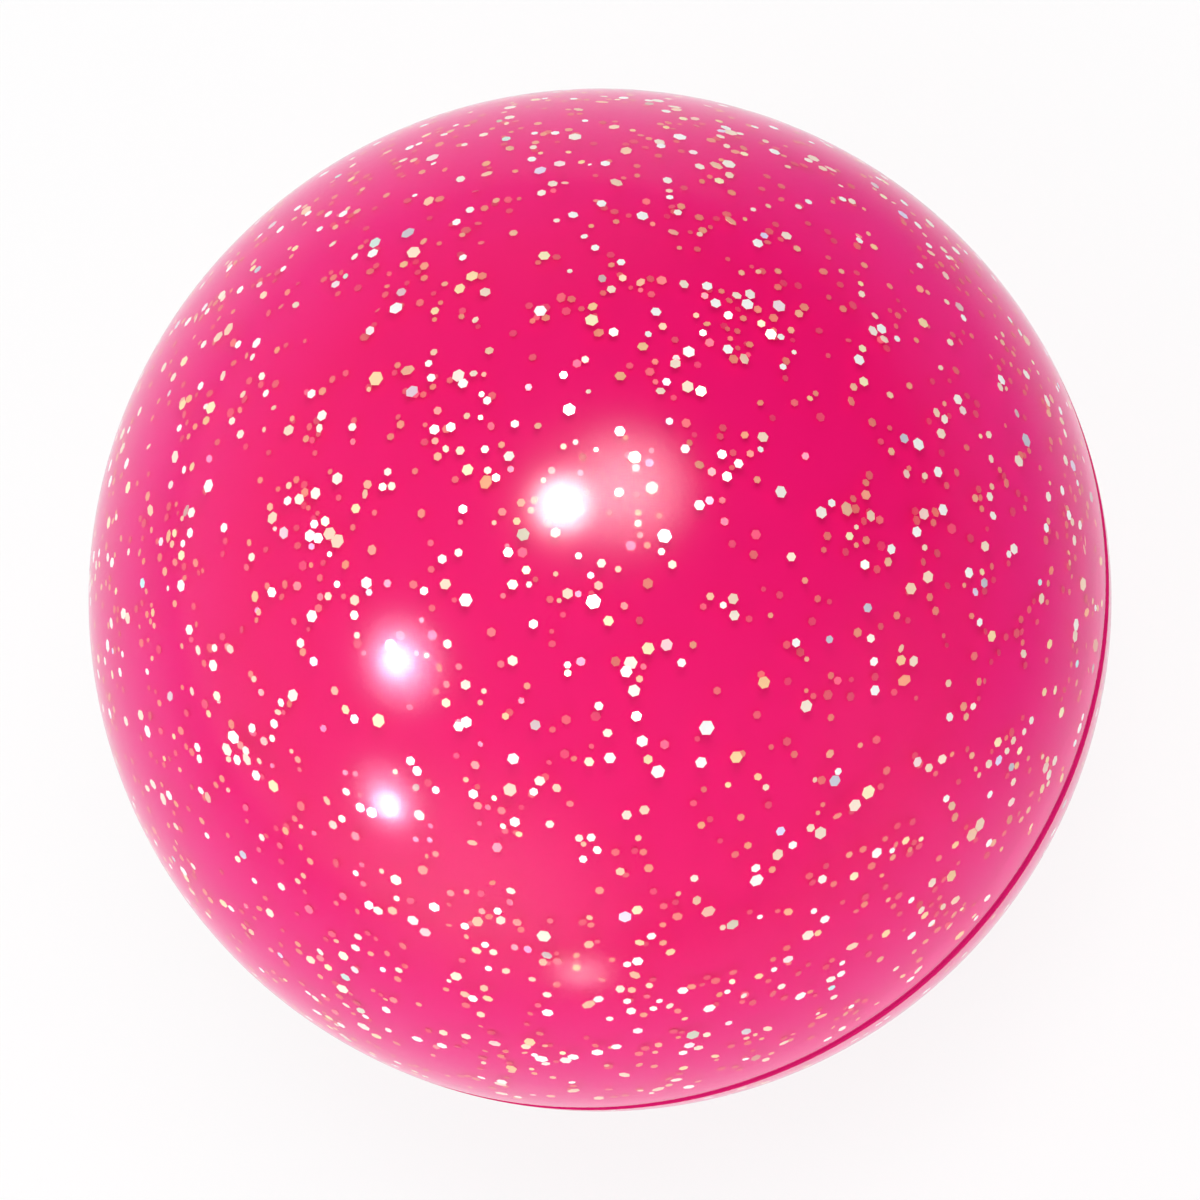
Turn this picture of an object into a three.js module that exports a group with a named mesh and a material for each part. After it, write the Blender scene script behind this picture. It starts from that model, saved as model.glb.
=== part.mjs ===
// A glitter field hockey ball: two moulded plastic cups that close on a cork core and are
// welded together round the equator. Millimetres, +Z up, origin at the centre of the ball,
// seam in the XY plane.
import * as THREE from "three";

// Driving dimensions
const ballDiameter = 73;
const shellWall = 6.4;
const seamGrooveWidth = 1.2; // across both lips, at the surface of the ball
const seamGrooveDepth = 0.4; // from the surface of the ball to the weld
const weldWidth = 1.4; // measured towards the centre of the ball
const weldHeight = 0.5; // channel between the two rims
const weldCrown = 0.12; // how far the middle of the bead swells outwards
const spigotHeight = 3;
const spigotWall = 2.4;
const spigotLeadIn = 0.5; // chamfer that guides the spigot into its socket
const coreBeltHeight = 4; // band left where the moulding flash was trimmed off the core
const coreBeltRise = 0.2;

// Clearances
const jointClearance = 0.1; // between the cups, and between a cup and the weld
const coreClearance = 0.3; // between the core's belt and the cups

// Facets
const aroundSteps = 60;
const outsideSteps = 16; // pole to seam
const insideSteps = 9; // pole to rim, on the inside of a cup
const coreSteps = 10; // pole to belt
const lipSteps = 4;
const crownSteps = 4;

// Sizes that follow
const ballRadius = ballDiameter / 2;
const cavityRadius = ballRadius - shellWall;
const lipHeight = seamGrooveWidth / 2;
const weldSeatHeight = weldHeight / 2;
const weldOuterRadius = ballRadius - seamGrooveDepth;
const weldInnerRadius = weldOuterRadius - weldWidth;
const spigotOuterRadius = cavityRadius + spigotWall;
const socketDepth = spigotHeight + jointClearance;
const beltRadius = cavityRadius - coreClearance;
const coreRadius = beltRadius - coreBeltRise;

// A point of a section: x is its distance from the Z axis, y its height.
function point(x, y) {
  return new THREE.Vector2(x, y);
}

// Points along an ellipse in the plane of a section. Angles run anticlockwise from +x, in radians.
function arc(centreX, centreY, radiusX, radiusY, from, to, steps) {
  const points = [];
  for (let i = 0; i <= steps; i++) {
    const angle = from + ((to - from) * i) / steps;
    const x = centreX + radiusX * Math.cos(angle);
    const y = centreY + radiusY * Math.sin(angle);
    points.push(point(x, y));
  }
  return points;
}

// An arc about the centre of the ball between two heights on it. Where an end is a pole of the
// ball, its point is put exactly on the axis.
function ballArc(radius, fromHeight, toHeight, steps) {
  const points = arc(
    0,
    0,
    radius,
    radius,
    Math.asin(fromHeight / radius),
    Math.asin(toHeight / radius),
    steps,
  );
  for (const end of [points[0], points[steps]]) {
    if (Math.abs(end.y) === radius) end.x = 0;
  }
  return points;
}

// The section turned upside down, and walked the other way so that it still faces outwards.
function mirrored(points) {
  return points.map(({ x, y }) => point(x, -y)).reverse();
}

// The solid that a section, walked upwards along its outer side, sweeps about the Z axis.
function revolve(section) {
  return new THREE.LatheGeometry(section, aroundSteps).rotateX(Math.PI / 2);
}

// Outer skin of the upper cup: the rounded lip of the seam groove, then the ball up to its pole.
function upperSkin() {
  const skinRadiusAtLip = Math.sqrt(ballRadius ** 2 - lipHeight ** 2);
  const lip = arc(
    weldOuterRadius,
    lipHeight,
    skinRadiusAtLip - weldOuterRadius,
    lipHeight - weldSeatHeight,
    -Math.PI / 2,
    0,
    lipSteps,
  );
  const dome = ballArc(ballRadius, lipHeight, ballRadius, outsideSteps);
  return [...lip, ...dome.slice(1)];
}

// Upper cup: its rim ends in a spigot that centres it in the lower cup. The spigot's bore is
// straight, so that the cup draws off its mould.
function upperShell() {
  const rimHeight = jointClearance / 2;
  const cavity = ballArc(cavityRadius, cavityRadius, 0, insideSteps);
  const rim = [
    point(cavityRadius, -spigotHeight),
    point(spigotOuterRadius - spigotLeadIn, -spigotHeight),
    point(spigotOuterRadius, spigotLeadIn - spigotHeight),
    point(spigotOuterRadius, rimHeight),
    point(weldInnerRadius, rimHeight),
    point(weldInnerRadius, weldSeatHeight),
  ];
  return revolve([...cavity, ...rim, ...upperSkin()]);
}

// Lower cup: the same skin, with a socket inside its rim that takes the spigot.
function lowerShell() {
  const rimHeight = -jointClearance / 2;
  const socketRadius = spigotOuterRadius + jointClearance;
  const cavity = ballArc(cavityRadius, -socketDepth, -cavityRadius, insideSteps);
  const rim = [
    point(weldInnerRadius, -weldSeatHeight),
    point(weldInnerRadius, rimHeight),
    point(socketRadius, rimHeight),
    point(socketRadius, -socketDepth),
  ];
  return revolve([...mirrored(upperSkin()), ...rim, ...cavity]);
}

// Weld: the ring of melted plastic that joins the two rims, seen at the bottom of the groove.
function seamWeld() {
  const halfHeight = weldSeatHeight - jointClearance;
  const rootRadius = weldInnerRadius + jointClearance;
  const shoulderRadius = weldOuterRadius - weldCrown;
  const crown = arc(
    shoulderRadius,
    0,
    weldCrown,
    halfHeight,
    -Math.PI / 2,
    Math.PI / 2,
    crownSteps,
  );
  const root = [point(rootRadius, halfHeight), point(rootRadius, -halfHeight)];
  return revolve([...crown, ...root, crown[0].clone()]);
}

// Core: pressed cork granules, with the low belt that its two-part mould leaves.
function corkCore() {
  const beltTop = coreBeltHeight / 2;
  const dome = ballArc(
    coreRadius,
    beltTop + coreBeltRise,
    coreRadius,
    coreSteps,
  );
  const belt = [point(beltRadius, -beltTop), point(beltRadius, beltTop)];
  return revolve([...mirrored(dome), ...belt, ...dome]);
}

const glitterPlastic = new THREE.MeshStandardMaterial({
  color: 0xee1a6e,
  roughness: 0.12,
  metalness: 0,
});
const weldPlastic = new THREE.MeshStandardMaterial({
  color: 0xc01158,
  roughness: 0.3,
  metalness: 0,
});
const pressedCork = new THREE.MeshStandardMaterial({
  color: 0xb07c4a,
  roughness: 0.9,
  metalness: 0,
});

function piece(name, geometry, material) {
  const mesh = new THREE.Mesh(geometry, material);
  mesh.name = name;
  return mesh;
}

const ball = new THREE.Group();
ball.add(
  piece("upper_shell", upperShell(), glitterPlastic),
  piece("lower_shell", lowerShell(), glitterPlastic),
  piece("seam_weld", seamWeld(), weldPlastic),
  piece("cork_core", corkCore(), pressedCork),
);

export default ball;
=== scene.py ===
import math
import random

import bmesh
import bpy
from mathutils import Matrix, Vector, noise


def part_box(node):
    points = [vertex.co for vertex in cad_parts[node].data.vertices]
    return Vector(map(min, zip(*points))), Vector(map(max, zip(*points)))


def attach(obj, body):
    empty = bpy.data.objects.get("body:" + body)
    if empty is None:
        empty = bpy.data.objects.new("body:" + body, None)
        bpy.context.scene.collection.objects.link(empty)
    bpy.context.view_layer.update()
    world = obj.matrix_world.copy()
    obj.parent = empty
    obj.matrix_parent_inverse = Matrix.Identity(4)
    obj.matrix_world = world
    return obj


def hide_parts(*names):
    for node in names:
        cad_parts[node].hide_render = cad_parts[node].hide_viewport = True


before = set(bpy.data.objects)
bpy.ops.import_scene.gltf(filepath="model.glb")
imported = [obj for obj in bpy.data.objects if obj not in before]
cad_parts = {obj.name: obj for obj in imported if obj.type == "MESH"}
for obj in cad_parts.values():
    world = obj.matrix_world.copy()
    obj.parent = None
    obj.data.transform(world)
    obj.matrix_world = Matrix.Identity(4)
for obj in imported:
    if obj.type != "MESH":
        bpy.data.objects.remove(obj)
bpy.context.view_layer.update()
mm = 0.001

ball = {
    "radius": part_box("upper_shell")[1].z,
    "clearDepth": 1.2 * mm,  # clear plastic over the pink, where the glitter lies
    "bareLip": 0.35 * mm,  # beside the seam's groove, where the pink comes up to the surface
    "leastClear": 0.012 * mm,
    "taper": 2.2 * mm,
    "taperSteps": 14,
    "bond": 0.1 * mm,  # how far the clear layer reaches into the pink
    "around": 240,
    "domeSteps": 72,  # pole to seam
    "insideSteps": 40,
}
seam = {
    "grooveWidth": 1.2 * mm,
    "grooveDepth": 0.4 * mm,
    "weldWidth": 1.4 * mm,
    "weldHeight": 0.5 * mm,
    "clearance": 0.1 * mm,
    "lipSteps": 10,
    "bandSteps": 3,
}
joint = {
    "cavityRadius": 30.1 * mm,
    "spigotHeight": 3.0 * mm,
    "spigotWall": 2.4 * mm,
    "leadIn": 0.5 * mm,
}
print("frame loaded, ball radius", round(ball["radius"] / mm, 2), "mm")


class Wire:  # an output socket; arithmetic on it adds Math nodes
    def __init__(self, finish, socket):
        self.finish = finish
        self.socket = socket

    def __add__(self, other):
        return self.finish.maths("ADD", self, other)

    def __radd__(self, other):
        return self.finish.maths("ADD", other, self)

    def __sub__(self, other):
        return self.finish.maths("SUBTRACT", self, other)

    def __rsub__(self, other):
        return self.finish.maths("SUBTRACT", other, self)

    def __mul__(self, other):
        return self.finish.maths("MULTIPLY", self, other)

    def __rmul__(self, other):
        return self.finish.maths("MULTIPLY", other, self)

    def __rpow__(self, other):
        return self.finish.maths("POWER", other, self)


class Finish:  # the node tree of a material, a lamp or the world
    def __init__(self, owner):
        owner.use_nodes = True
        self.tree = owner.node_tree
        self.tree.nodes.clear()

    def node(self, kind, settings=None, sockets=None, out=0):
        made = self.tree.nodes.new("ShaderNode" + kind)
        for name, value in (settings or {}).items():
            if name == "stops":
                self.setStops(made.color_ramp, value)
            elif name == "steps":
                made.color_ramp.interpolation = value
            else:
                setattr(made, name, value)
        for name, value in (sockets or {}).items():
            if isinstance(value, Wire):
                self.tree.links.new(value.socket, made.inputs[name])
            else:
                made.inputs[name].default_value = value
        return None if out is None else Wire(self, made.outputs[out])

    def setStops(self, ramp, stops):
        while len(ramp.elements) < len(stops):
            ramp.elements.new(0.5)
        for element, (place, shade) in zip(ramp.elements, stops):
            element.position = place
            element.color = (*shade, 1)

    def maths(self, operation, first, second):
        return self.node("Math", {"operation": operation}, {0: first, 1: second})

    def mixed(self, share, first, second):
        return self.node("Mix", {"data_type": "RGBA"}, {0: share, 6: first, 7: second}, out=2)

    def smooth(self, value, start, end):
        return self.node(
            "MapRange",
            {"interpolation_type": "SMOOTHSTEP"},
            {"Value": value, "From Min": start, "From Max": end},
        )

    def place(self, out="Object"):
        return self.node("TexCoord", out=out)


def newMaterial(name):
    material = bpy.data.materials.new(name)
    return material, Finish(material)


def colour(red, green, blue):
    return (red, green, blue, 1)


# Shapes

def arc(centre, radii, start, end, steps):
    points = []
    for step in range(steps + 1):
        angle = start + (end - start) * step / steps
        across = centre[0] + radii[0] * math.cos(angle)
        height = centre[1] + radii[1] * math.sin(angle)
        points.append((across, height))
    return points


def ballArc(radius, low, high, steps):
    return arc((0, 0), (radius, radius), math.asin(low / radius), math.asin(high / radius), steps)


def mirrored(section):
    return [(across, -height) for across, height in reversed(section)]


# Turns a section, walked upwards along its outer side, about the Z axis
def turned(name, section, around, closed=False, sharp=40):
    corners = []
    rings = []
    for across, height in section:
        first = len(corners)
        if across < 1e-7:
            rings.append([first] * around)
            corners.append((0, 0, height))
            continue
        rings.append(list(range(first, first + around)))
        for step in range(around):
            angle = math.tau * step / around
            corners.append((across * math.cos(angle), across * math.sin(angle), height))
    faces = []
    for low, high in zip(rings, rings[1:] + rings[:1] if closed else rings[1:]):
        for step in range(around):
            after = (step + 1) % around
            face = [low[step], low[after], high[after], high[step]]
            faces.append(list(dict.fromkeys(face)))
    return meshPiece(name, corners, faces, sharp)


def meshPiece(name, corners, faces, sharp=None):
    mesh = bpy.data.meshes.new(name)
    mesh.from_pydata(corners, [], faces)
    mesh.validate()
    if sharp is not None:
        mesh.shade_smooth()
        mesh.set_sharp_from_angle(angle=math.radians(sharp))
    piece = bpy.data.objects.new(name, mesh)
    bpy.context.scene.collection.objects.link(piece)
    return piece


def fit(piece, material, slot, *nodes):
    piece.data.materials.append(material)
    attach(piece, "root")
    if nodes:
        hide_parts(*nodes)


radius = ball["radius"]
lipHeight = seam["grooveWidth"] / 2
seatHeight = seam["weldHeight"] / 2
weldOuter = radius - seam["grooveDepth"]
weldInner = weldOuter - seam["weldWidth"]
spigotOuter = joint["cavityRadius"] + joint["spigotWall"]
clearStart = lipHeight + ball["bareLip"]


# Thickness of the clear layer at a height above the seam
def clearDepthAt(height):
    rise = min(max((height - clearStart) / ball["taper"], 0), 1)
    ease = rise**2 * (3 - 2 * rise)
    return ball["leastClear"] + (ball["clearDepth"] - ball["leastClear"]) * ease


# Line under the clear layer from the seam to the pole, sunk a little further if asked
def layerLine(sink=0):
    startAngle = math.asin(clearStart / radius)
    fullAngle = math.asin((clearStart + ball["taper"]) / radius)
    parts = (
        (startAngle, fullAngle, ball["taperSteps"]),
        (fullAngle, math.pi / 2, ball["domeSteps"]),
    )
    points = []
    for start, end, steps in parts:
        for step in range(1 if points else 0, steps + 1):
            angle = start + (end - start) * step / steps
            reach = radius - clearDepthAt(radius * math.sin(angle)) - sink
            points.append((reach * math.cos(angle), reach * math.sin(angle)))
    return points


# Clear outer layer of a cup, from the inside of its pole to the seam and back over the outside
def skinSection():
    inside = layerLine(ball["bond"])
    outside = ballArc(radius, clearStart, radius, ball["domeSteps"])
    return inside[::-1] + outside


# Rounded lip of the seam's groove, the bare band beside it, then the pink under the clear layer
def bodyOutside():
    band = ballArc(radius, lipHeight, clearStart, seam["bandSteps"])
    lipRadii = (band[0][0] - weldOuter, lipHeight - seatHeight)
    lip = arc((weldOuter, lipHeight), lipRadii, -math.pi / 2, 0, seam["lipSteps"])
    return lip + band[1:] + layerLine()


def upperBodySection():
    cavityRadius = joint["cavityRadius"]
    bottom = -joint["spigotHeight"]
    rim = seam["clearance"] / 2
    inside = ballArc(cavityRadius, cavityRadius, 0, ball["insideSteps"])
    spigot = [
        (cavityRadius, bottom),
        (spigotOuter - joint["leadIn"], bottom),
        (spigotOuter, bottom + joint["leadIn"]),
        (spigotOuter, rim),
        (weldInner, rim),
        (weldInner, seatHeight),
    ]
    return inside + spigot + bodyOutside()


def lowerBodySection():
    cavityRadius = joint["cavityRadius"]
    rim = -seam["clearance"] / 2
    socketRadius = spigotOuter + seam["clearance"]
    socketFloor = -joint["spigotHeight"] - seam["clearance"]
    socket = [
        (weldInner, -seatHeight),
        (weldInner, rim),
        (socketRadius, rim),
        (socketRadius, socketFloor),
    ]
    inside = ballArc(cavityRadius, socketFloor, -cavityRadius, ball["insideSteps"])
    return mirrored(bodyOutside()) + socket + inside


# Glitter

glitter = {
    "count": 5800,
    "nearAcross": (0.4 * mm, 1.05 * mm, 0.66 * mm),  # least, most and usual
    "deepAcross": (0.3 * mm, 0.74 * mm, 0.45 * mm),
    "thick": 0.04 * mm,
    "tilt": 13,  # usual lean from the surface, in degrees
    "mostTilt": 38,
    "cover": 0.03 * mm,  # clear plastic left above and below a flake
    "nearShare": 0.29,  # flakes that floated up against the mould
    "nearDepth": 0.12 * mm,
    "nearPower": 2,  # above 1 crowds them towards the surface
    "deepPower": 0.7,  # below 1 crowds them towards the pink
    "clumped": 0.22,  # share set beside an earlier flake
    "clumpReach": 1.5 * mm,
    "clumpLeast": 0.5,  # part of that reach that is left free
    "apart": 0.6 * mm,
    "seed": 23,
}


def randomDirection(rng):
    height = rng.uniform(-1, 1)
    angle = rng.uniform(0, math.tau)
    across = math.sqrt(1 - height**2)
    return Vector((across * math.cos(angle), across * math.sin(angle), height))


def flakeFrame(rng, outward, tilt):
    side = outward.orthogonal().normalized()
    side.rotate(Matrix.Rotation(rng.uniform(0, math.tau), 3, outward))
    leaned = outward.copy()
    leaned.rotate(Matrix.Rotation(tilt, 3, side))
    flat = side.copy()
    flat.rotate(Matrix.Rotation(rng.uniform(0, math.tau), 3, leaned))
    return flat, leaned.cross(flat), leaned


def scatterFlakes():
    rng = random.Random(glitter["seed"])
    flakes = []
    taken = {}
    cell = glitter["apart"]
    while len(flakes) < glitter["count"]:
        outward = randomDirection(rng)
        if flakes and rng.random() < glitter["clumped"]:
            nudge = randomDirection(rng) * rng.uniform(glitter["clumpLeast"], 1)
            nudge *= glitter["clumpReach"]
            outward = (rng.choice(flakes)["centre"] + nudge).normalized()
        near = rng.random() < glitter["nearShare"]
        half = rng.triangular(*glitter["nearAcross" if near else "deepAcross"]) / 2
        tilt = min(abs(rng.gauss(0, glitter["tilt"])), glitter["mostTilt"])
        tilt = math.radians(tilt)
        reach = half * math.sin(tilt) + glitter["thick"] / 2 + glitter["cover"]
        deepest = ball["clearDepth"] - reach
        if near:
            depth = reach + rng.random() ** glitter["nearPower"] * glitter["nearDepth"]
        else:
            depth = reach + rng.random() ** glitter["deepPower"] * (deepest - reach)
        centre = outward * (radius - depth)
        if clearDepthAt(abs(centre.z) - half) < depth + reach:
            continue
        spot = tuple(math.floor(value / cell) for value in centre)
        others = []
        for x in (-1, 0, 1):
            for y in (-1, 0, 1):
                for z in (-1, 0, 1):
                    others += taken.get((spot[0] + x, spot[1] + y, spot[2] + z), [])
        if any((centre - other).length < glitter["apart"] for other in others):
            continue
        taken.setdefault(spot, []).append(centre)
        axes = flakeFrame(rng, outward, tilt)
        flake = {"centre": centre, "half": half, "axes": axes}
        flake["depth"] = depth / mm
        flake["film"] = rng.random() * (1 if near else glitterFilm["warm"])
        flakes.append(flake)
    return flakes


# Hexagons cut from film: two faces and six edges each
def flakeMesh(name, flakes):
    corners = []
    faces = []
    depths = []
    films = []
    for flake in flakes:
        first = len(corners)
        along, across, up = flake["axes"]
        for side in (-1, 1):
            for step in range(6):
                angle = math.tau * step / 6
                flat = along * math.cos(angle) + across * math.sin(angle)
                lift = up * side * glitter["thick"] / 2
                corners.append(flake["centre"] + flat * flake["half"] + lift)
        faces.append([first + step for step in reversed(range(6))])
        faces.append([first + 6 + step for step in range(6)])
        for step in range(6):
            after = (step + 1) % 6
            faces.append([first + step, first + after, first + 6 + after, first + 6 + step])
        depths += [flake["depth"]] * 12
        films += [flake["film"]] * 12
    piece = meshPiece(name, corners, faces)
    for label, values in (("depth", depths), ("film", films)):
        layer = piece.data.attributes.new(label, "FLOAT", "POINT")
        layer.data.foreach_set("value", values)
    return piece


# Finishes

clearPlastic = {
    "ior": 1.27,
    "roughness": 0.15,
    "waviness": 0.012,
    "waveScale": 90,
    "waveHeight": 0.2 * mm,
}


def clearFinish():
    material, finish = newMaterial("clear plastic")
    place = finish.place()
    waves = finish.node(
        "TexNoise", None, {"Vector": place, "Scale": clearPlastic["waveScale"], "Detail": 1}
    )
    bump = finish.node(
        "Bump",
        None,
        {
            "Strength": clearPlastic["waviness"],
            "Distance": clearPlastic["waveHeight"],
            "Height": waves,
        },
    )
    shader = finish.node(
        "BsdfPrincipled",
        None,
        {
            "Base Color": colour(1, 1, 1),
            "IOR": clearPlastic["ior"],
            "Roughness": clearPlastic["roughness"],
            "Transmission Weight": 1.0,
            "Normal": bump,
        },
    )
    finish.node("OutputMaterial", None, {"Surface": shader}, out=None)
    return material


# Light passes the clear layer freely, and only sight is mirrored and bent by it
def letLightThrough(piece):
    piece.visible_shadow = False
    piece.visible_diffuse = False
    piece.visible_glossy = False
    piece.visible_transmission = False


pinkPlastic = {
    "deep": colour(0.8, 0.004, 0.138),
    "milky": colour(0.84, 0.008, 0.156),
    "paintedSheen": colour(0.88, 0.014, 0.32),  # painted sheen: pale lilac where the surface is seen slantwise, in place of reflected light
    "paintedSheenFrom": 0.18,
    "paintedSheenTo": 0.52,
    "lip": colour(0.68, 0.013, 0.145),  # in and beside the seam's groove: painted shade of the groove, with denser pink there
    "grooveShadeFrom": 1.6 * clearStart,  # height where that colour begins, and where it is full
    "grooveShadeTo": 0.8 * clearStart,
    "cloudScale": 60,
    "roughness": 0.42,
    "shine": 0.0,  # the gloss is on the clear layer
}


def pinkFinish():
    material, finish = newMaterial("pink plastic")
    place = finish.place()
    clouds = finish.node(
        "TexNoise", None, {"Vector": place, "Scale": pinkPlastic["cloudScale"], "Detail": 3}
    )
    depths = finish.mixed(clouds, pinkPlastic["deep"], pinkPlastic["milky"])
    # Painted sheen: the colour turns pale lilac towards the outline, where the surface is seen
    # slantwise, standing in for reflected light
    outward = finish.node("VectorMath", {"operation": "NORMALIZE"}, {0: place})
    slant = finish.node("LayerWeight", None, {"Blend": 0.5, "Normal": outward}, "Facing")
    paintedSheen = finish.node(
        "MapRange",
        None,
        {"Value": slant, "From Min": pinkPlastic["paintedSheenFrom"], "From Max": pinkPlastic["paintedSheenTo"]},
    )
    withPaintedSheen = finish.mixed(paintedSheen, depths, pinkPlastic["paintedSheen"])
    # Painted shade in and beside the seam's groove, together with denser pink there: the colour
    # darkens towards the seam
    height = finish.node("SeparateXYZ", None, {"Vector": place}, "Z")
    fromSeam = finish.maths("ABSOLUTE", height, 0)
    grooveShadeAndDye = finish.node(
        "MapRange",
        None,
        {"Value": fromSeam, "From Min": pinkPlastic["grooveShadeFrom"], "From Max": pinkPlastic["grooveShadeTo"]},
    )
    base = finish.mixed(grooveShadeAndDye, withPaintedSheen, pinkPlastic["lip"])
    shader = finish.node(
        "BsdfPrincipled",
        None,
        {
            "Base Color": base,
            "Roughness": pinkPlastic["roughness"],
            "Specular IOR Level": pinkPlastic["shine"],
        },
    )
    finish.node("OutputMaterial", None, {"Surface": shader}, out=None)
    return material


glitterFilm = {
    "tints": [
        (0.0, (1.0, 0.99, 0.98)),
        (0.68, (1.0, 0.88, 0.56)),
        (0.78, (1.0, 0.76, 0.42)),
        (0.85, (0.97, 0.8, 0.86)),
        (0.9, (0.6, 0.6, 0.7)),
        (0.945, (0.6, 0.9, 0.92)),
        (0.965, (0.8, 0.72, 0.98)),
    ],
    "clearAbove": 0.12,  # mm of plastic that doesn't tint a flake yet
    "greenLost": 3.4,  # how fast each mm of plastic beyond that takes it
    "blueLost": 7.6,
    "warm": 0.85,  # part of the tints that deep flakes take
    "metallic": 0.15,
    "roughness": 0.3,
}


def glitterFinish():
    material, finish = newMaterial("glitter film")
    depth = finish.node("Attribute", {"attribute_name": "depth"}, out="Fac")
    film = finish.node("Attribute", {"attribute_name": "film"}, out="Fac")
    tint = finish.node(
        "ValToRGB", {"stops": glitterFilm["tints"], "steps": "CONSTANT"}, {"Fac": film}
    )
    sunk = finish.maths("MAXIMUM", depth - glitterFilm["clearAbove"], 0)
    green = math.e ** (sunk * -glitterFilm["greenLost"])
    blue = math.e ** (sunk * -glitterFilm["blueLost"])
    through = finish.node("CombineXYZ", None, {0: green, 1: green, 2: blue})
    base = finish.node(
        "Mix",
        {"data_type": "VECTOR", "factor_mode": "NON_UNIFORM"},
        {1: through, 4: pinkPlastic["milky"][:3], 5: tint},
        out=1,
    )
    shader = finish.node(
        "BsdfPrincipled",
        None,
        {
            "Base Color": base,
            "Metallic": glitterFilm["metallic"],
            "Roughness": glitterFilm["roughness"],
        },
    )
    finish.node("OutputMaterial", None, {"Surface": shader}, out=None)
    return material


# Cups

clear = clearFinish()
pink = pinkFinish()
film = glitterFinish()
halves = {
    "upper": (skinSection(), upperBodySection()),
    "lower": (mirrored(skinSection()), lowerBodySection()),
}
for half, (skinLine, bodyLine) in halves.items():
    skin = turned(half + "_skin", skinLine, ball["around"])
    fit(skin, clear, "glitter_pvc", half + "_shell")
    letLightThrough(skin)
    body = turned(half + "_body", bodyLine, ball["around"])
    fit(body, pink, "glitter_pvc", half + "_shell")
print("cups turned")

flakes = scatterFlakes()
for half, side in (("upper", 1), ("lower", -1)):
    ownFlakes = [flake for flake in flakes if flake["centre"].z * side > 0]
    pieces = flakeMesh(half + "_glitter", ownFlakes)
    fit(pieces, film, "glitter_film")
    pieces.visible_shadow = False
    print(half, "cup has", len(ownFlakes), "flakes")


# Weld

weld = {
    "crown": 0.12 * mm,
    "crownSteps": 10,
    "colour": colour(0.52, 0.006, 0.1),
    "hollowShade": 0.8,  # painted shade in the hollows of its ripples
    "rippleScale": 900,
    "rippleStrength": 0.3,
    "rippleHeight": 0.05 * mm,
    "roughness": 0.4,
    "shine": 0.15,
}


def weldSection():
    half = seatHeight - seam["clearance"]
    root = weldInner + seam["clearance"]
    shoulder = weldOuter - weld["crown"]
    radii = (weld["crown"], half)
    crown = arc((shoulder, 0), radii, -math.pi / 2, math.pi / 2, weld["crownSteps"])
    return crown + [(root, half), (root, -half)]


def weldFinish():
    material, finish = newMaterial("weld plastic")
    ripple = finish.node(
        "TexNoise", None, {"Vector": finish.place(), "Scale": weld["rippleScale"], "Detail": 2}
    )
    bump = finish.node(
        "Bump",
        None,
        {
            "Strength": weld["rippleStrength"],
            "Distance": weld["rippleHeight"],
            "Height": ripple,
        },
    )
    # Painted shade: the weld's colour darkens where its ripples are low
    shadedWeld = colour(*(value * weld["hollowShade"] for value in weld["colour"][:3]))
    base = finish.mixed(ripple, shadedWeld, weld["colour"])
    shader = finish.node(
        "BsdfPrincipled",
        None,
        {
            "Base Color": base,
            "Roughness": weld["roughness"],
            "Specular IOR Level": weld["shine"],
            "Normal": bump,
        },
    )
    finish.node("OutputMaterial", None, {"Surface": shader}, out=None)
    return material


weldRing = turned("weld_ring", weldSection(), ball["around"], closed=True)
fit(weldRing, weldFinish(), "weld_pvc", "seam_weld")
print("weld laid")


# Cork core

cork = {
    "radius": 29.6 * mm,
    "beltRadius": 29.8 * mm,
    "beltHeight": 4.0 * mm,
    "granule": 2.6 * mm,
    "joint": 0.22 * mm,  # depth of the lines between granules
    "jointWidth": 0.22,  # in granules
    "fine": 6,
    "colours": [
        (0.15, (0.16, 0.06, 0.02)),
        (0.5, (0.42, 0.2, 0.075)),
        (0.85, (0.62, 0.36, 0.16)),
    ],
    "granuleShare": 0.6,  # of the colour that goes by granule, the rest by grain
    "grainScale": 1400,
    "grainStrength": 0.5,
    "grainHeight": 0.1 * mm,
    "roughness": 0.9,
}


def corkShape():
    grid = bmesh.new()
    bmesh.ops.create_icosphere(grid, subdivisions=cork["fine"], radius=1)
    for corner in grid.verts:
        outward = corner.co.normalized()
        place = outward * cork["radius"]
        if abs(place.z) < cork["beltHeight"] / 2:
            flat = Vector((outward.x, outward.y, 0)).normalized() * cork["beltRadius"]
            place = Vector((flat.x, flat.y, place.z))
        gaps, points = noise.voronoi(place / cork["granule"])
        crease = max(0, 1 - (gaps[1] - gaps[0]) / cork["jointWidth"])
        corner.co = place - outward * cork["joint"] * crease**2
    mesh = bpy.data.meshes.new("cork_ball")
    grid.to_mesh(mesh)
    grid.free()
    mesh.shade_smooth()
    piece = bpy.data.objects.new("cork_ball", mesh)
    bpy.context.scene.collection.objects.link(piece)
    return piece


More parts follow.
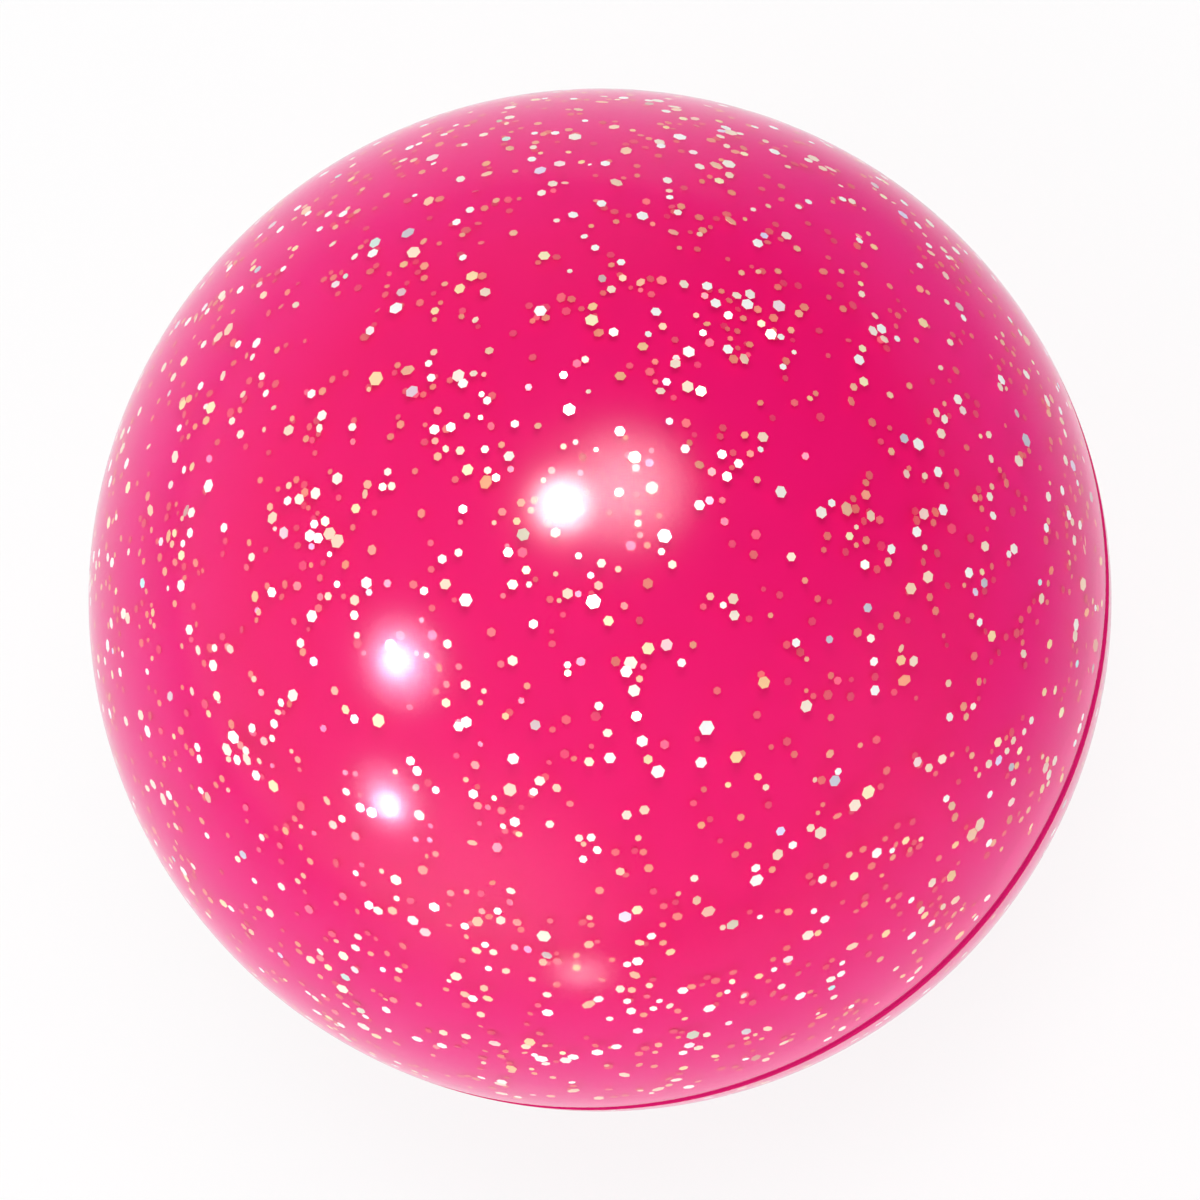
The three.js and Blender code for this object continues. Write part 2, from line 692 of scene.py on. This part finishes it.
def corkFinish():
    material, finish = newMaterial("pressed cork")
    place = finish.place()
    granules = finish.node(
        "TexVoronoi", {"feature": "F1"}, {"Vector": place, "Scale": 1 / cork["granule"]}, "Color"
    )
    grey = finish.node("RGBToBW", None, {"Color": granules})
    grain = finish.node(
        "TexNoise", None, {"Vector": place, "Scale": cork["grainScale"], "Detail": 4}
    )
    shade = grey * cork["granuleShare"] + grain * (1 - cork["granuleShare"])
    base = finish.node("ValToRGB", {"stops": cork["colours"]}, {"Fac": shade})
    bump = finish.node(
        "Bump",
        None,
        {"Strength": cork["grainStrength"], "Distance": cork["grainHeight"], "Height": grain},
    )
    shader = finish.node(
        "BsdfPrincipled",
        None,
        {"Base Color": base, "Roughness": cork["roughness"], "Normal": bump},
    )
    finish.node("OutputMaterial", None, {"Surface": shader}, out=None)
    return material


fit(corkShape(), corkFinish(), "cork", "cork_core")
print("core pressed")


# Camera: the seam's near side lies at the lower right of the frame

sight = {
    "distance": 8 * radius,
    "seamLean": math.radians(19),  # seam's axis from the line of sight
    "seamTurn": math.radians(42),  # below the frame's right
    "lens": 121.8,
    "frame": 1200,
}
nearSide = Vector((0, -1, 0))
lean = sight["seamLean"]
turn = sight["seamTurn"]
toCamera = Vector((0, -math.sin(lean), math.cos(lean)))
nearSeen = (nearSide - toCamera * math.sin(lean)) / math.cos(lean)
sideways = toCamera.cross(nearSeen)
rightward = nearSeen * math.cos(turn) + sideways * math.sin(turn)
upward = sideways * math.cos(turn) - nearSeen * math.sin(turn)

lens = bpy.data.cameras.new("camera")
lens.lens = sight["lens"]
lens.sensor_width = 36
lens.sensor_fit = "HORIZONTAL"
lens.clip_start = 0.01
camera = bpy.data.objects.new("camera", lens)
bpy.context.scene.collection.objects.link(camera)
axes = Matrix((rightward, upward, toCamera)).transposed().to_4x4()
camera.matrix_world = Matrix.Translation(toCamera * sight["distance"]) @ axes
bpy.context.scene.camera = camera


# Studio

lilac = (0.84, 0.74, 1.0)
# Each lamp stands where the ball mirrors it at a point of the frame, and its width is in degrees.
# Those that are mirrored make the highlights and the pale sheet at the lower left, and the others
# only light the ball.
lamps = {
    "key": {"spot": (610, 490), "wide": 30, "bright": 6.8},
    "right": {"spot": (900, 700), "wide": 40, "bright": 2.0},
    "above": {"spot": (560, 230), "wide": 40, "bright": 1.6},
    "below": {"spot": (540, 940), "wide": 40, "bright": 1.5},
    "main": {"spot": (562, 504), "wide": 16, "bright": 190, "mirrored": True},
    "mainGlow": {"spot": (628, 486), "wide": 34, "bright": 27, "mirrored": True},
    "left": {"spot": (396, 660), "wide": 9, "bright": 240, "mirrored": True, "colour": lilac},
    "leftGlow": {"spot": (402, 662), "wide": 23, "bright": 46, "mirrored": True, "colour": lilac},
    "low": {"spot": (388, 805), "wide": 7.5, "bright": 240, "mirrored": True, "colour": lilac},
    "lowGlow": {"spot": (388, 795), "wide": 18, "bright": 26, "mirrored": True, "colour": lilac},
    "sheet": {"spot": (474, 876), "wide": 76, "bright": 2.2, "mirrored": True, "distance": 0.15},
    "faint": {"spot": (581, 972), "wide": 15, "bright": 13, "mirrored": True, "distance": 0.15},
}
lampDistance = 0.9  # of a lamp that has none of its own


def mirrorDirection(spot):
    focal = sight["frame"] * lens.lens / lens.sensor_width
    across = (spot[0] - sight["frame"] / 2) / focal
    down = (spot[1] - sight["frame"] / 2) / focal
    ray = (rightward * across - upward * down - toCamera).normalized()
    start = toCamera * sight["distance"]
    along = -start.dot(ray)
    nearest = start + ray * along
    hit = nearest - ray * math.sqrt(radius**2 - nearest.length_squared)
    outward = hit.normalized()
    return hit, (ray - outward * 2 * ray.dot(outward)).normalized()


# A lamp that fades towards its edge, as a diffuser does
def softenEdge(light):
    finish = Finish(light)
    across = finish.node("NewGeometry", out="Parametric")
    off = finish.node(
        "VectorMath", {"operation": "DISTANCE"}, {0: across, 1: (0.5, 0.5, 0)}, "Value"
    )
    fade = finish.smooth(off, 0.5, 0.0)
    glow = finish.node("Emission", None, {"Color": fade, "Strength": 1.0})
    finish.node("OutputLight", None, {"Surface": glow}, out=None)


for name, lamp in lamps.items():
    hit, direction = mirrorDirection(lamp["spot"])
    distance = lamp.get("distance", lampDistance)
    light = bpy.data.lights.new(name, "AREA")
    light.shape = "DISK"
    light.color = lamp.get("colour", (1, 1, 1))
    light.size = 2 * distance * math.tan(math.radians(lamp["wide"] / 2))
    light.energy = lamp["bright"] * math.pi * math.pi * (light.size / 2) ** 2
    stand = bpy.data.objects.new(name, light)
    bpy.context.scene.collection.objects.link(stand)
    stand.location = hit + direction * distance
    stand.rotation_euler = direction.to_track_quat("Z", "Y").to_euler()
    stand.visible_camera = False
    stand.visible_glossy = lamp.get("mirrored", False)
    stand.visible_diffuse = not stand.visible_glossy
    if stand.visible_glossy:
        softenEdge(light)
    print("lamp", name, "at height", round(stand.location.z, 2), "m")

studio = {
    "darkest": 0.04,  # the unlit side of the room
    "lightest": 1.5,
    "darkSide": (rightward * 0.36 + upward * 0.38 + toCamera * 0.24).normalized(),
}


def lightWorld():
    world = bpy.data.worlds.new("studio")
    bpy.context.scene.world = world
    finish = Finish(world)
    facing = finish.node(
        "VectorMath",
        {"operation": "DOT_PRODUCT"},
        {0: finish.place("Generated"), 1: studio["darkSide"]},
        "Value",
    )
    stops = [
        (0.0, (studio["lightest"],) * 3),
        (1.0, (studio["darkest"],) * 3),
    ]
    sky = finish.node("ValToRGB", {"stops": stops}, {"Fac": facing * 0.5 + 0.5})
    back = finish.node("Background", None, {"Color": sky, "Strength": 1.0})
    finish.node("OutputWorld", None, {"Surface": back}, out=None)


floor = {
    "reach": 4,
    "steps": 96,
    "colour": colour(0.86, 0.855, 0.85),
    "patches": colour(0.88, 0.88, 0.88),
    "patchScale": 40,
    "roughness": 0.8,
    "far": colour(0.8, 0.8, 0.8),
    "bright": 0.09,  # distance from the ball's centre to which it is fully lit
    "dim": 0.4,
    "glow": 0.84,
    "shade": (1.02 * radius, 1.24 * radius),  # the glow comes up from nothing between these
    "darkSide": (rightward * 0.9 + upward * 0.45).normalized(),
    "darkTurn": (0.45, 0.85),  # it darkens between these, by how squarely a place lies on that side
    "darkReach": (0.05, 0.12),  # and between these distances from the ball's centre
    "darkness": 0.65,  # painted shade, seen in the ball's mirror image alone
}


def layFloor():
    corners = [(0, 0, -radius)]
    faces = []
    for step in range(floor["steps"]):
        angle = math.tau * step / floor["steps"]
        edge = Vector((math.cos(angle), math.sin(angle), 0)) * floor["reach"]
        corners.append((edge.x, edge.y, -radius))
        faces.append([0, step + 1, (step + 1) % floor["steps"] + 1])
    piece = meshPiece("floor", corners, faces)
    material, finish = newMaterial("pale floor")
    place = finish.place()
    patches = finish.node(
        "TexNoise", None, {"Vector": place, "Scale": floor["patchScale"], "Detail": 3}
    )
    away = finish.node("VectorMath", {"operation": "LENGTH"}, {0: place}, "Value")
    pool = finish.smooth(away, floor["dim"], floor["bright"])
    clearOfBall = finish.smooth(away, *floor["shade"])
    pale = finish.mixed(patches, floor["colour"], floor["patches"])
    base = finish.mixed(pool, floor["far"], pale)
    matte = finish.node("BsdfPrincipled", None, {"Base Color": base, "Roughness": floor["roughness"]})
    white = finish.node("Emission", None, {"Strength": 1.0})
    direct = finish.node("LightPath", out="Is Camera Ray")
    glossy = finish.node("LightPath", out="Is Glossy Ray")
    passing = finish.node("LightPath", out="Is Transmission Ray")
    seen = finish.maths("MINIMUM", direct + glossy + passing, 1.0)
    glow = seen * floor["glow"] * pool * clearOfBall
    lit = finish.node("MixShader", None, {0: glow, 1: matte, 2: white})
    facing = finish.node(
        "VectorMath", {"operation": "DOT_PRODUCT"}, {0: place, 1: floor["darkSide"]}, "Value"
    )
    squarely = finish.smooth(finish.maths("DIVIDE", facing, away), *floor["darkTurn"])
    distant = finish.smooth(away, *floor["darkReach"])
    # Painted shade in the ball's reflection: for glossy rays the floor turns black on its dark side,
    # though it is lit there
    black = finish.node("Emission", None, {"Strength": 0.0})
    paintedReflectionShade = glossy * squarely * distant * floor["darkness"]
    mix = finish.node("MixShader", None, {0: paintedReflectionShade, 1: lit, 2: black})
    finish.node("OutputMaterial", None, {"Surface": mix}, out=None)
    piece.data.materials.append(material)


lightWorld()
layFloor()
bpy.context.scene.view_settings.view_transform = "Standard"
print("studio lit")
